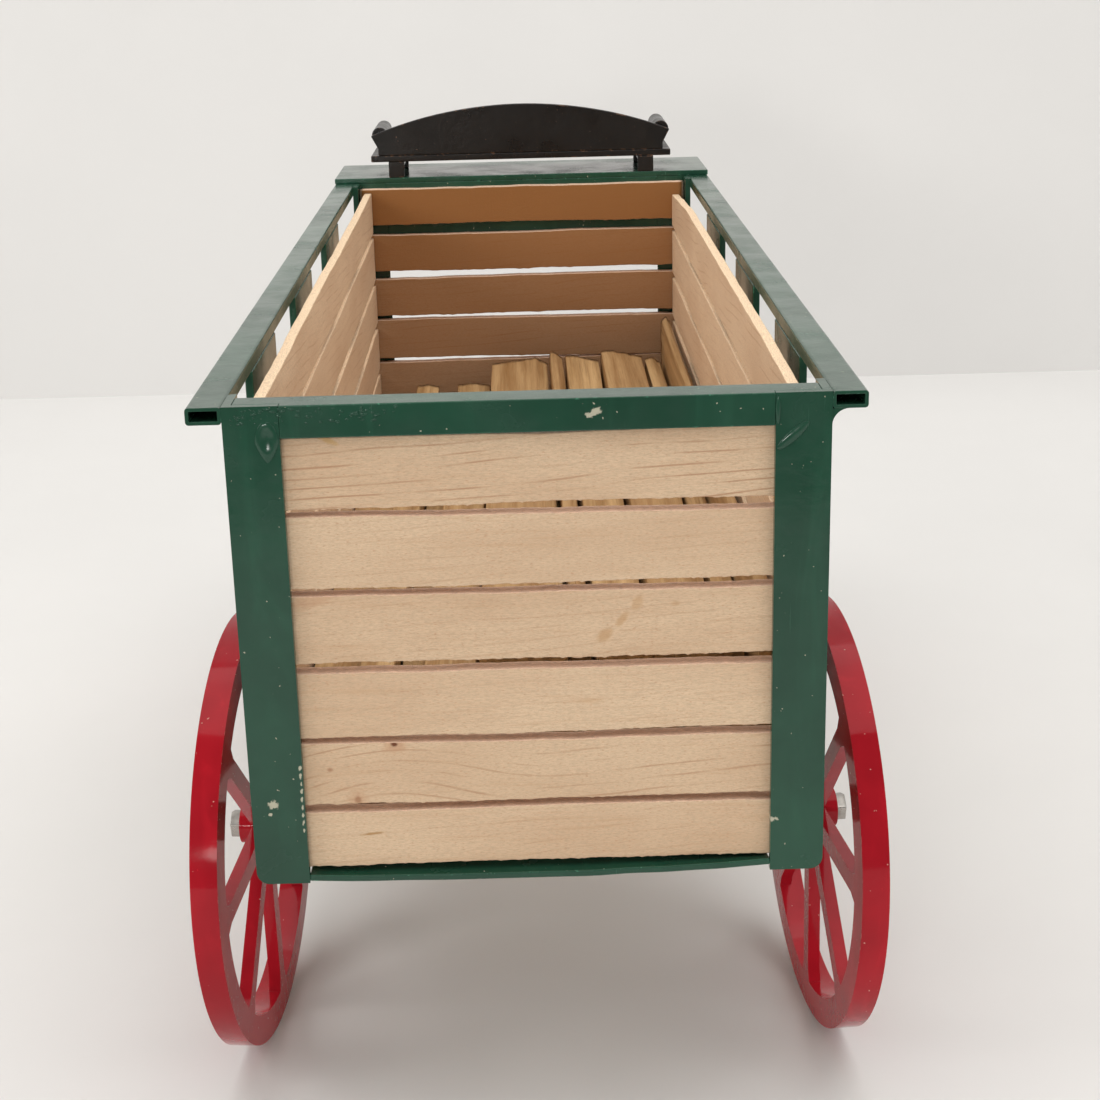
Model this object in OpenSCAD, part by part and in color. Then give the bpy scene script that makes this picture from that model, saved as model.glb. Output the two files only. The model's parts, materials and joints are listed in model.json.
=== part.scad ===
// Small four-wheeled farm wagon: steel frame, lath walls, spring-less seat and a load of split wood.
// +Y points forwards, towards the seat and the pole. The origin is on the ground, under the middle.

/* [Box] */
// Width over the two side rails
rail_span = 240; // [190:1:300]
// Length of the box over its corner posts
box_l = 600; // [480:1:760]
// Height of the box from the frame's underside to the top of the rails
box_h = 186; // [154:1:230]
// Width of a side rail tube
rail_w = 12.7; // [9:0.1:18]
// Height of a side rail tube
rail_h = 6.3; // [5:0.1:10]
// Wall of a side rail tube
rail_wall = 1.3; // [0.8:0.1:2]
// Leg of the corner post angle
post_leg = 20; // [15:0.5:26]
// Thickness of the corner post angle, the stakes and the sills
steel_t = 3.2; // [2.4:0.1:4.5]
// Width of a side stake plate
stake_w = 76; // [50:1:90]
// Rear edge of the first stake plate, from the tail
stake_first = 84; // [60:1:100]

/* [Lath] */
// Thickness of the lath in the tail and front walls
slat_t = 7.5; // [5:0.1:9]
// Thickness of the lath in the side walls
side_t = 4.5; // [3:0.1:7]
// Mean gap between two lath boards
slat_gap = 3.4; // [2.4:0.1:4.5]
// Height of the angle across the tail, above the lath
tail_rail_h = 12; // [9:0.5:16]
// Depth of the angle across the tail
tail_rail_d = 14; // [10:0.5:18]
// Height of the flat bar across the front
front_rail_h = 38; // [25:1:45]
// Thickness of a floor board
floor_t = 6.4; // [4:0.1:9]
// How far the top board of the right wall drops at its front end
right_drop = 6; // [0:0.5:9]

/* [Rear wheels] */
// Radius of a rear wheel
rear_r = 96; // [85:0.5:116]
// Axle of the rear wheels, from the tail
rear_axle_y = 124; // [115:1:170]
// Gather of each rear wheel, in degrees
gather = 5; // [0:0.5:6]

/* [Front wheels] */
// Radius of a front wheel
front_r = 65; // [54:0.5:67]
// King pin, from the tail
kingpin_y = 520; // [420:1:540]

/* [Wheel pattern] */
// Gap between the side of the box and the inner face of the hubs
wheel_gap = 12.7; // [12.5:0.1:27]
// Width of the tread
tread_w = 11.2; // [8:0.1:14]
// Depth of the rim
rim_d = 12.8; // [9:0.1:16]
// Number of spokes
spokes = 8; // [6:1:12]
// Width of a spoke at the hub
spoke_w = 8.4; // [6:0.1:10]
// Thickness of a spoke
spoke_t = 5.4; // [4:0.1:8]
// Diameter of the hub boss
hub_d = 17; // [15:0.5:24]
// Length of the hub
hub_l = 12; // [11:0.1:16]
// Diameter of the axle stubs
stub_d = 6.35; // [5:0.05:8]

/* [Running gear] */
// Side of the square axle bars
axle_bar = 12.7; // [10:0.1:16]
// Diameter of the king pin
kingpin_d = 8; // [6:0.1:10]
// Diameter of the turntable plates
turntable_d = 90; // [70:1:100]
// Thickness of the turntable plates
turntable_t = 4; // [3:0.1:5]
// Height of the front bolster
bolster_h = 12; // [10:0.5:16]
// Distance from the king pin to the pole pin
hound_l = 80; // [72:1:100]
// Length of the pole between its pin and its eye
pole_l = 290; // [230:1:350]
// Width of the pole
pole_w = 12; // [9:0.1:15]
// Height of the pole
pole_h = 10; // [8:0.1:13]
// Diameter of the pole pin
pole_pin_d = 6; // [5:0.1:8]

/* [Seat] */
// Depth of the plate that carries the seat
plate_d = 72; // [62:1:90]
// Clear height under the seat board
seat_lift = 10; // [7:0.5:20]
// Width of the seat board
seat_w = 192; // [160:1:205]
// Depth of the seat board
seat_d = 56; // [45:1:62]
// Thickness of the seat board and back
seat_t = 4; // [3:0.1:6]
// Height of the seat back at its ends, above the board
back_end_h = 12.5; // [10:0.5:20]
// Rise of the seat back's arch
back_rise = 18; // [8:0.5:26]
// Diameter of the rolled arm rests
arm_d = 10; // [7:0.5:13]
// Width of a seat bracket strap
strap_w = 10; // [7:0.5:14]

/* [Load] */
// Length of the longest billet
billet_l = 540; // [380:1:560]
// Mean height of the load above the floor
load_h = 64; // [50:1:74]

/* [Hidden] */
// Clearances
seat_gap = 0.3;
running_gap = 0.075;
end_gap = 0.4;
lay_gap = 0.3;
// How far a cut runs past the face that it opens
past = 1;
// Heights: the ground is 0, both axles hang from the box
axle_drop = 35;
box_z = rear_r + axle_drop;
top_z = box_z + box_h;
// Widths: the inner face of each side wall stands wall_in inside the posts' outer faces
wall_in = 11;
post_x = rail_span / 2 - rail_w;
inner_x = post_x - wall_in;
flange_x = post_x - post_leg;
// Box floor: the end bars run level with the posts' feet, the tail one an angle with a leaf below the boards
bar_lift = 0.1;
leaf_t = 2.6;
board_gap = 1;
sill_h = 16;
sill_w = 19;
cross_w = 25;
cross_z = box_z + steel_t;
floor_z = cross_z + steel_t;
floor_top = floor_z + floor_t;
floor_boards_n = 5;
// Hand-sawn edges: how far each board's top and bottom stray from an even spacing
tail_top_off = [0, -1.4, -2.5, -4.3, -3.8, -2.1];
tail_bottom_off = [-0.4, -2.7, -3.2, -4.2, -3.1, -0.3];
front_top_off = [0, -0.6, 0, 1.5, 2.9, 2];
front_bottom_off = [2.4, 1.6, 1.9, 1.5, 2, 0.5];
side_top_off = [0, 0.6, -0.4, 0.3, -0.5, 0.2];
side_bottom_off = [0.4, -0.3, 0.5, -0.2, 0.4, 0];
slat_n = 6;
tail_reveal = 0.7;
tail_lift = 5.5;
front_reveal = 2.6;
side_reveal = 5.5;
side_lift = 5;
tail_top = top_z - tail_rail_h - tail_reveal;
tail_bottom = box_z + tail_lift;
front_top = top_z - front_reveal;
front_bottom = floor_top;
side_top = top_z - side_reveal;
side_bottom = cross_z + side_lift;
// Length of the cut at the front end of the right wall's top board
drop_run = 110;
// Stakes: three to a side, evenly spaced, the last one short of the front post
stake_n = 3;
stake_pitch = (box_l - post_leg - stake_first) / (stake_n + 0.2);
// Wheels
hub_x = post_x + wheel_gap;
front_axle_z = front_r;
nut_af = 11.1;
nut_t = 4.2;
stub_past = 5;
collar_d = 14;
collar_l = 12.7;
stub_root = 14;
bar_setback = 12;
axle_end_x = hub_x - bar_setback;
// A spoke flares where it meets the rim, and both ends run a little into what holds them
spoke_flare = 5.4;
flare_l = 6;
spoke_root = 1;
// Rear hanger
hanger_x = 76;
hanger_t = 6;
hanger_d = 40;
pad_d = 56;
// Front gear
turn_top = box_z - bolster_h;
turn_low = turn_top - 2 * turntable_t - seat_gap;
bolster_w = 116;
bolster_d = 50;
pedestal_w = 40;
kingpin_head_t = 4.5;
kingpin_af = 13;
kingpin_nut_t = 6.5;
kingpin_past = 3;
hound_t = 4;
hound_h = 14;
jaw_gap = pole_w + 2 * seat_gap;
pin_reach = jaw_gap / 2 + hound_t;
pole_eye_r = 8;
pole_root_r = pole_h / 2 + 0.8;
pole_eye_bore = 6.4;
pole_y = kingpin_y + hound_l;
pole_drop = asin((front_axle_z - pole_eye_r) / pole_l);
pole_tip_y = pole_y + pole_l * cos(pole_drop) + pole_eye_r;
// Seat
plate_y = box_l - steel_t;
plate_z = top_z;
plate_top = plate_z + steel_t;
seat_z = plate_top + seat_lift;
pan_top = seat_z + seat_t;
strap_t = 3;
strap_x = 80;
notch_h = 4;
notch_in = 4.5;
// Load: each stick on top has a share of the width, a height as a share of the bed's, the place of its peak
// across its width, and how far its front end stands back. A height of 0 leaves a gap
load_setback = 8;
bed_n = 5;
bed_step = 9;
bed_peak = 0.4;
bed_fall = 0.015;
top_step = 20;
top_fall = 0.14;
top_layer = [[24, 0, 0, 0], [16, 0.53, 0.6, 20], [10, 0, 0, 0], [23, 0.5, 0.4, 16], [37, 1, 0.8, 18],
             [10, 1.08, 0.3, 12], [23, 1.05, 0.2, 20], [28, 1.09, 0.2, 14], [12, 0.98, 0.4, 22],
             [8.4, 1.68, 0.5, 0]];
// Origin under the middle of the overall length
mid_y = pole_tip_y / 2;

$fn = 64;

module paint() { color([0.10, 0.28, 0.20]) children(); }
module lath() { color([0.82, 0.68, 0.52]) children(); }
module red() { color([0.72, 0.06, 0.10]) children(); }
module black() { color([0.10, 0.09, 0.09]) children(); }
module zinc() { color([0.72, 0.72, 0.70]) children(); }
module oak() { color([0.72, 0.52, 0.28]) children(); }

// Everything is drawn with y = 0 at the tail, then moved under the origin
module placed() { translate([0, -mid_y, 0]) children(); }
// A block from its lowest corner to its highest
module block(low, high) { translate(low) cube(high - low); }
// side = -1 is the left, side = 1 is the right
module on_side(side) { if (side < 0) mirror([1, 0, 0]) children(); else children(); }

// Corner post: an angle with its corner outwards, foot corner rounded off
module post_body() {
    foot_r = 5;
    difference() {
        union() {
            block([flange_x, 0, box_z], [post_x, steel_t, top_z]);
            block([post_x - steel_t, 0, box_z], [post_x, post_leg, top_z]);
        }
        translate([post_x - foot_r, -past, box_z + foot_r]) rotate([-90, 0, 0])
            difference() {
                cube([foot_r + past, foot_r + past, steel_t + 2 * past]);
                translate([0, 0, -past]) cylinder(r = foot_r, h = steel_t + 4 * past);
            }
    }
}
module rear_post(side) { paint() placed() on_side(side) post_body(); }
module front_post(side) {
    paint() placed() translate([0, box_l, 0]) mirror([0, 1, 0]) on_side(side) post_body();
}

// Side rail: open rectangular tube from the tail to the front edge of the seat plate
module side_rail(side) {
    tube_l = plate_y + plate_d;
    paint() placed() on_side(side) difference() {
        block([post_x, 0, top_z - rail_h], [post_x + rail_w, tube_l, top_z]);
        block([post_x + rail_wall, -past, top_z - rail_h + rail_wall],
              [post_x + rail_w - rail_wall, tube_l + past, top_z - rail_wall]);
    }
}
module tail_rail() {
    paint() placed() {
        block([-flange_x, 0, top_z - tail_rail_h], [flange_x, steel_t, top_z]);
        block([-post_x + steel_t, steel_t, top_z - steel_t], [post_x - steel_t, tail_rail_d, top_z]);
    }
}
module front_rail() {
    paint() placed() block([-flange_x, plate_y, top_z - front_rail_h], [flange_x, box_l, top_z]);
}
// Sill: an angle under each side, between the posts
module sill(side) {
    paint() placed() on_side(side) {
        block([post_x - steel_t, post_leg, box_z], [post_x, box_l - post_leg, box_z + sill_h]);
        block([post_x - sill_w, post_leg, box_z], [post_x, box_l - post_leg, cross_z]);
    }
}
module tail_floor_bar() {
    paint() placed() {
        block([-flange_x, 0, box_z + bar_lift], [flange_x, tail_rail_d, box_z + bar_lift + leaf_t]);
        block([-flange_x, steel_t + slat_t + seat_gap, box_z + bar_lift],
              [flange_x, tail_rail_d, tail_bottom - seat_gap]);
    }
}
module front_floor_bar() {
    paint() placed() block([-flange_x, box_l - tail_rail_d, box_z + bar_lift], [flange_x, box_l, floor_z]);
}
// Cross bars lie on the sills; two of them straddle the king pin's head
module floor_cross_bars() {
    bar_x = inner_x - end_gap;
    pair_y = kingpin_af + cross_w / 2;
    mid_bar_y = (rear_axle_y + kingpin_y) / 2;
    paint() placed() for (y = [rear_axle_y, mid_bar_y, kingpin_y - pair_y, kingpin_y + pair_y])
        block([-bar_x, y - cross_w / 2, cross_z], [bar_x, y + cross_w / 2, floor_z]);
}
// Stakes stand on the outside of the sill, under the rail
module stakes(side) {
    paint() placed() on_side(side) for (i = [0:stake_n - 1]) {
        y = stake_first + i * stake_pitch;
        block([post_x, y, box_z], [post_x + steel_t, y + stake_w, top_z - rail_h]);
    }
}

// Lath: the top and bottom of board i in a wall from z_low to z_high
function even_pitch(z_low, z_high) = (z_high - z_low + slat_gap) / slat_n;
function slat_top(z_low, z_high, i, off) = z_high - i * even_pitch(z_low, z_high) + off[i];
function slat_low(z_low, z_high, i, off) =
    z_high - (i + 1) * even_pitch(z_low, z_high) + slat_gap + off[i];

module tail_slat(i) {
    half = post_x - steel_t - end_gap;
    lath() placed()
        block([-half, steel_t, slat_low(tail_bottom, tail_top, i, tail_bottom_off)],
              [half, steel_t + slat_t, slat_top(tail_bottom, tail_top, i, tail_top_off)]);
}
module front_slat(i) {
    half = post_x - steel_t - end_gap;
    lath() placed()
        block([-half, plate_y - slat_t, slat_low(front_bottom, front_top, i, front_bottom_off)],
              [half, plate_y, slat_top(front_bottom, front_top, i, front_top_off)]);
}
// The top board of the right wall is cut down towards its front end
module side_slat(side, i) {
    y0 = steel_t + slat_t + end_gap;
    y1 = plate_y - slat_t - end_gap;
    drop = side > 0 && i == 0 ? right_drop : 0;
    zt = slat_top(side_bottom, side_top, i, side_top_off);
    zb = slat_low(side_bottom, side_top, i, side_bottom_off);
    lath() placed() on_side(side) translate([inner_x, 0, 0]) rotate([90, 0, 90])
        linear_extrude(side_t)
            polygon([[y0, zb], [y1, zb], [y1, zt - drop], [y1 - drop_run, zt], [y0, zt]]);
}
module floor_boards() {
    board_w = (2 * (inner_x - end_gap) + board_gap) / floor_boards_n;
    lath() placed() for (i = [0:floor_boards_n - 1]) {
        x = -inner_x + end_gap + i * board_w;
        block([x, tail_rail_d + end_gap, floor_z],
              [x + board_w - board_gap, box_l - tail_rail_d - end_gap, floor_top]);
    }
}

// Seat: a plate across the rail ends, two strap brackets, a board, an arched back and rolled arms
module seat_plate() {
    paint() placed() block([-rail_span / 2, plate_y, plate_z], [rail_span / 2, plate_y + plate_d, plate_top]);
}
module seat_brackets() {
    strap_in = strap_x - strap_w / 2;
    black() placed() for (side = [-1, 1]) on_side(side) translate([strap_in, plate_y, plate_top]) {
        cube([strap_w, strap_t, seat_lift]);
        translate([0, seat_d - 2 * strap_t, 0]) cube([strap_w, strap_t, seat_lift]);
        translate([0, 0, seat_lift - strap_t]) cube([strap_w, seat_d - strap_t, strap_t]);
    }
}
module seat_board() {
    corner_r = 6;
    black() placed() translate([0, plate_y, seat_z]) linear_extrude(seat_t) union() {
        translate([-seat_w / 2, 0]) square([seat_w, seat_d - corner_r]);
        translate([-seat_w / 2 + corner_r, 0]) square([seat_w - 2 * corner_r, seat_d]);
        for (side = [-1, 1]) translate([side * (seat_w / 2 - corner_r), seat_d - corner_r]) circle(corner_r);
    }
}
module seat_back() {
    half = seat_w / 2 - 0.5;
    arch_r = (half * half + back_rise * back_rise) / (2 * back_rise);
    black() placed() translate([0, plate_y + seat_t, pan_top]) rotate([90, 0, 0]) linear_extrude(seat_t)
        intersection() {
            polygon([[-half + notch_in, 0], [-half + notch_in, notch_h], [-half, back_end_h],
                     [-half, back_end_h + back_rise], [half, back_end_h + back_rise],
                     [half, back_end_h], [half - notch_in, notch_h], [half - notch_in, 0]]);
            translate([0, back_end_h + back_rise - arch_r]) circle(arch_r, $fn = 128);
        }
}
module seat_arms() {
    web_t = 3;
    arm_l = seat_d - 6;
    arm_x = seat_w / 2 - 1 - arm_d / 2;
    black() placed() for (side = [-1, 1]) on_side(side) {
        block([arm_x - web_t / 2, plate_y + seat_t, pan_top],
              [arm_x + web_t / 2, plate_y + arm_l, pan_top + back_end_h]);
        translate([arm_x, plate_y + seat_t, pan_top + back_end_h]) rotate([-90, 0, 0])
            cylinder(d = arm_d, h = arm_l - seat_t);
    }
}

// Wheel with its inner face on x = 0 and its hub along +x; phase turns the spokes
module wheel(r, phase) {
    rim_in = r - rim_d;
    spoke_end = spoke_w + spoke_flare;
    flare_r = rim_in - flare_l;
    root_r = rim_in + spoke_root;
    difference() {
        union() {
            rotate([0, 90, 0]) difference() {
                cylinder(r = r, h = tread_w, $fn = 128);
                translate([0, 0, -past]) cylinder(r = rim_in, h = tread_w + 2 * past, $fn = 128);
            }
            rotate([0, 90, 0]) cylinder(d = hub_d, h = hub_l);
            rotate([90, 0, 90]) linear_extrude(spoke_t)
                for (i = [0:spokes - 1]) rotate(phase + i * 360 / spokes)
                    polygon([[0, -spoke_w / 2], [flare_r, -spoke_w / 2], [root_r, -spoke_end / 2],
                             [root_r, spoke_end / 2], [flare_r, spoke_w / 2], [0, spoke_w / 2]]);
        }
        translate([-past, 0, 0]) rotate([0, 90, 0])
            cylinder(d = stub_d + 2 * running_gap, h = hub_l + 2 * past);
    }
}
// Frame of a hub: origin on the hub's inner face, x outwards along the stub
module at_hub(side, y, z, toe) {
    placed() on_side(side) translate([hub_x, y, z]) rotate([0, 0, toe]) children();
}
module rear_wheel(side) {
    red() at_hub(side, rear_axle_y, rear_r, gather) wheel(rear_r, side > 0 ? -2.5 : 2);
}
module front_wheel(side) { red() at_hub(side, kingpin_y, front_axle_z, 0) wheel(front_r, -2.5); }
// Axle stub with its collar, in the frame of a hub
module stub() {
    rotate([0, 90, 0]) translate([0, 0, -stub_root]) cylinder(d = stub_d, h = stub_root + hub_l + stub_past);
    rotate([0, 90, 0]) translate([0, 0, -collar_l - seat_gap]) cylinder(d = collar_d, h = collar_l);
}
module hex_nut(af, t, bore) {
    difference() {
        cylinder(d = af / cos(30), h = t, $fn = 6);
        translate([0, 0, -past]) cylinder(d = bore, h = t + 2 * past);
    }
}
module wheel_nut() {
    translate([hub_l + seat_gap, 0, 0]) rotate([0, 90, 0]) rotate(12) hex_nut(nut_af, nut_t, stub_d);
}
module rear_wheel_nuts() {
    zinc() for (side = [-1, 1]) at_hub(side, rear_axle_y, rear_r, gather) wheel_nut();
}
module front_wheel_nuts() {
    zinc() for (side = [-1, 1]) at_hub(side, kingpin_y, front_axle_z, 0) wheel_nut();
}

// Rear axle: a square bar under two hangers and a pad plate welded to the box
module rear_axle() {
    half = axle_bar / 2;
    paint() {
        placed() {
            block([-axle_end_x, rear_axle_y - half, rear_r - half],
                  [axle_end_x, rear_axle_y + half, rear_r + half]);
            block([-post_x, rear_axle_y - pad_d / 2, box_z - steel_t],
                  [post_x, rear_axle_y + pad_d / 2, box_z]);
            for (side = [-1, 1]) on_side(side)
                block([hanger_x, rear_axle_y - hanger_d / 2, rear_r + half],
                      [hanger_x + hanger_t, rear_axle_y + hanger_d / 2, box_z - steel_t]);
        }
        for (side = [-1, 1]) at_hub(side, rear_axle_y, rear_r, gather) stub();
    }
}

// Front gear: bolster and upper plate on the box, king pin through both plates and the axle
module front_bolster() {
    paint() placed() translate([0, kingpin_y, 0]) difference() {
        union() {
            block([-bolster_w / 2, -bolster_d / 2, box_z - bolster_h], [bolster_w / 2, bolster_d / 2, box_z]);
            translate([0, 0, turn_top - turntable_t]) cylinder(d = turntable_d, h = turntable_t);
            block([-post_x, -bolster_d / 2, box_z - steel_t], [post_x, bolster_d / 2, box_z]);
        }
        translate([0, 0, turn_low - past]) cylinder(d = kingpin_d, h = box_z - turn_low + 2 * past);
    }
}
module king_pin() {
    zinc() placed() translate([0, kingpin_y, 0]) {
        pin_low = front_axle_z - axle_bar / 2 - kingpin_nut_t - kingpin_past;
        translate([0, 0, pin_low]) cylinder(d = kingpin_d, h = box_z - pin_low);
        translate([0, 0, box_z]) cylinder(d = kingpin_af / cos(30), h = kingpin_head_t, $fn = 6);
    }
}
module king_pin_nut() {
    zinc() placed() translate([0, kingpin_y, front_axle_z - axle_bar / 2 - seat_gap - kingpin_nut_t])
        hex_nut(kingpin_af, kingpin_nut_t, kingpin_d);
}
module front_axle() {
    half = axle_bar / 2;
    jaw_r = hound_h / 2;
    paint() {
        placed() translate([0, kingpin_y, 0]) difference() {
            union() {
                block([-axle_end_x, -half, front_axle_z - half], [axle_end_x, half, front_axle_z + half]);
                translate([0, 0, turn_low]) cylinder(d = turntable_d, h = turntable_t);
                block([-pedestal_w / 2, -half, front_axle_z + half], [pedestal_w / 2, half, turn_low]);
                for (side = [-1, 1]) on_side(side) {
                    block([jaw_gap / 2, half, front_axle_z - jaw_r],
                          [jaw_gap / 2 + hound_t, hound_l, front_axle_z + jaw_r]);
                    translate([jaw_gap / 2, hound_l, front_axle_z]) rotate([0, 90, 0])
                        cylinder(r = jaw_r, h = hound_t);
                }
            }
            translate([0, 0, front_axle_z - half - past])
                cylinder(d = kingpin_d + 2 * running_gap, h = box_z);
            translate([-pin_reach - past, hound_l, front_axle_z]) rotate([0, 90, 0])
                cylinder(d = pole_pin_d, h = 2 * (pin_reach + past));
        }
        for (side = [-1, 1]) at_hub(side, kingpin_y, front_axle_z, 0) stub();
    }
}
module pole_pin() {
    head_t = 2.5;
    head_d = pole_pin_d + 4;
    zinc() placed() translate([0, pole_y, front_axle_z]) rotate([0, 90, 0]) {
        translate([0, 0, -pin_reach]) cylinder(d = pole_pin_d, h = 2 * pin_reach);
        for (z = [-pin_reach - head_t, pin_reach]) translate([0, 0, z]) cylinder(d = head_d, h = head_t);
    }
}
// Pole: at rest its eye lies on the ground
module pole() {
    paint() placed() translate([-pole_w / 2, pole_y, front_axle_z]) rotate([-pole_drop, 0, 0]) difference() {
        union() {
            block([0, 0, -pole_h / 2], [pole_w, pole_l, pole_h / 2]);
            rotate([0, 90, 0]) cylinder(r = pole_root_r, h = pole_w);
            translate([0, pole_l, 0]) rotate([0, 90, 0]) cylinder(r = pole_eye_r, h = pole_w);
        }
        translate([-past, 0, 0]) rotate([0, 90, 0])
            cylinder(d = pole_pin_d + 2 * running_gap, h = pole_w + 2 * past);
        translate([-past, pole_l, 0]) rotate([0, 90, 0]) cylinder(d = pole_eye_bore, h = pole_w + 2 * past);
    }
}

// Split firewood: a bed of billets with sticks and planks on top, each a straight length.
// A section is a block whose top peaks at a share of its width and falls off to both sides
function split_section(w, h, peak, fall) =
    [[0, 0], [w, 0], [w, h * (1 - fall)], [w * peak, h], [0, h * (1 - fall * peak)]];
module billet(x, z, w, h, peak, fall, y_low, y_high) {
    translate([x, y_high, z]) rotate([90, 0, 0]) linear_extrude(y_high - y_low)
        polygon(split_section(w, h, peak, fall));
}
// Sum of the first n widths in a layer
function before(layer, n) = n == 0 ? 0 : layer[n - 1][0] + before(layer, n - 1);
module firewood() {
    bed = 2 * (inner_x - 2 * lay_gap);
    low_h = load_h / 2;
    y_front = plate_y - slat_t - load_setback;
    y_rear = y_front - billet_l;
    width_sum = before(top_layer, len(top_layer));
    oak() placed() translate([-bed / 2, 0, floor_top + lay_gap]) {
        for (i = [0:bed_n - 1]) billet(i * bed / bed_n, 0, bed / bed_n - lay_gap, low_h, bed_peak, bed_fall,
            y_rear + bed_step * (i % 3), y_front - bed_step * (i % 2));
        for (i = [0:len(top_layer) - 1]) let (stick = top_layer[i]) if (stick[1] > 0)
            billet(before(top_layer, i) * bed / width_sum, low_h + lay_gap,
                stick[0] * bed / width_sum - lay_gap, stick[1] * low_h, stick[2], top_fall,
                y_rear + top_step * (i % 3), y_front - stick[3]);
    }
}

rear_post(-1);  // rear_post_left
rear_post(1);  // rear_post_right
front_post(-1);  // front_post_left
front_post(1);  // front_post_right
side_rail(-1);  // side_rail_left
side_rail(1);  // side_rail_right
tail_rail();
front_rail();
sill(-1);  // sill_left
sill(1);  // sill_right
tail_floor_bar();
front_floor_bar();
floor_cross_bars();
stakes(-1);  // stakes_left
stakes(1);  // stakes_right
for (i = [0:slat_n - 1]) {
    tail_slat(i);
    front_slat(i);
    side_slat(-1, i);
    side_slat(1, i);
}
floor_boards();
seat_plate();
seat_board();
seat_back();
seat_arms();
seat_brackets();
rear_axle();
front_bolster();
king_pin();
king_pin_nut();
front_axle();
pole();
pole_pin();
rear_wheel(-1);  // rear_wheel_left
rear_wheel(1);  // rear_wheel_right
front_wheel(-1);  // front_wheel_left
front_wheel(1);  // front_wheel_right
rear_wheel_nuts();
front_wheel_nuts();
firewood();
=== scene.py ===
"""Small farm wagon: the finished pieces and the stage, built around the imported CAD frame.

Everything is in metres, +Y forwards and +Z up. A piece that starts from a CAD node keeps its place and size.
"""

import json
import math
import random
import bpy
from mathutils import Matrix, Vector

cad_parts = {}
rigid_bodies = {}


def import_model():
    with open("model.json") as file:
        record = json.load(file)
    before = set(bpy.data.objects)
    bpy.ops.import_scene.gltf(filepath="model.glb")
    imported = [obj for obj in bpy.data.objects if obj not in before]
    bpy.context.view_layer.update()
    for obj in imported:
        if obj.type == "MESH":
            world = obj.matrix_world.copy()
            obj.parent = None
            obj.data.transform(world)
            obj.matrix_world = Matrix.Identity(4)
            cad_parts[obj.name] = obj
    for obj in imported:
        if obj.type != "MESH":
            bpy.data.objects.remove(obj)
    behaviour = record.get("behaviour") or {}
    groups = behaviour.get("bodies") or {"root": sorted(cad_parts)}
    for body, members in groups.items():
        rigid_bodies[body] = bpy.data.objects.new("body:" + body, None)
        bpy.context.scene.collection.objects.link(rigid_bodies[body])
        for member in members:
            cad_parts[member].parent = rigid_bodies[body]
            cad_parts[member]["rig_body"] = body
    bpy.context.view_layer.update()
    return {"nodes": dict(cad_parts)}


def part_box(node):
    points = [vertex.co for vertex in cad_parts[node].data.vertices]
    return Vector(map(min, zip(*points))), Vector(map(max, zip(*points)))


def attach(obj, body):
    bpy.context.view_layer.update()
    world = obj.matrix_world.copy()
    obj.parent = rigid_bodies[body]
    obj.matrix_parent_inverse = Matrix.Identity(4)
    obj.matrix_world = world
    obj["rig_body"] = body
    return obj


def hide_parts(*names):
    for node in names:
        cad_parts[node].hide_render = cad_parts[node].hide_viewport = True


bl_info = {
    "name": "Small farm wagon",
    "version": (1, 0, 0),
    "blender": (4, 5, 0),
    "location": "View3D > Sidebar > Wagon",
    "description": "Steel frame, sawn lath, split firewood, painted wheels and a stage",
    "category": "Add Mesh",
}

import bmesh
import bpy
from bpy.props import FloatProperty, FloatVectorProperty, IntProperty, PointerProperty
from mathutils import Matrix, Vector, noise

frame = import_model()

TAIL_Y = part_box("tail_rail")[0].y
TOP_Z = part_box("tail_rail")[1].z
POST_LOW, POST_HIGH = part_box("rear_post_right")
RAIL_LOW, RAIL_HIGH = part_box("tail_rail")
POST_LEFT_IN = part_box("rear_post_left")[1].x

# Marks on the tail: centre, half width, half height and slant in degrees
PAINT_CHIPS = [
    (0.0237, 0.3118, 0.0022, 0.0011, -35), (0.0215, 0.3108, 0.0011, 0.0008, 20),
    (-0.0991, 0.1640, 0.0016, 0.0014, 0), (-0.1004, 0.1600, 0.0006, 0.0006, 0),
    (0.0876, 0.1522, 0.0012, 0.0008, 0), (0.0897, 0.1523, 0.0008, 0.0006, 0),
    *((-0.0882, 0.153 + 0.0032 * i, 0.0003 + 0.00012 * (i % 3), 0.0008 + 0.0002 * (i % 2), 4) for i in range(9)),
]
DARK_KNOT = (0.22, 0.10, 0.07)
RED_STAIN = (0.78, 0.60, 0.52)
TAN_STAIN = (0.74, 0.58, 0.40)
# Each mark on the boards, how strong it is, and its share of the board's red, green and blue
BOARD_MARKS = [
    ((-0.0528, 0.1855, 0.0042, 0.0030, 0), 0.6, RED_STAIN), ((-0.0530, 0.1858, 0.0013, 0.0009, 0), 1.0, DARK_KNOT),
    ((-0.0775, 0.1761, 0.0011, 0.0009, 0), 0.7, (0.55, 0.36, 0.28)),
    ((-0.0677, 0.1635, 0.0036, 0.0036, 0), 0.45, RED_STAIN), ((-0.0677, 0.1635, 0.0012, 0.0017, -20), 0.7, (0.5, 0.32, 0.24)),
    ((-0.0630, 0.1494, 0.0038, 0.0005, -6), 0.9, (0.62, 0.48, 0.30)),
    ((-0.0710, 0.3034, 0.0034, 0.0010, 26), 0.7, (0.80, 0.66, 0.38)),
    ((0.0262, 0.2270, 0.0034, 0.0019, -40), 0.6, TAN_STAIN), ((0.0325, 0.2330, 0.0036, 0.0013, -48), 0.55, TAN_STAIN),
    ((0.0380, 0.2390, 0.0030, 0.0018, -60), 0.45, TAN_STAIN), ((0.052, 0.2385, 0.0016, 0.0009, 0), 0.35, TAN_STAIN),
    ((-0.0800, 0.2432, 0.0085, 0.0028, -14), 0.5, RED_STAIN), ((0.0200, 0.2010, 0.0050, 0.0010, 0), 0.25, TAN_STAIN),
]
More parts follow.
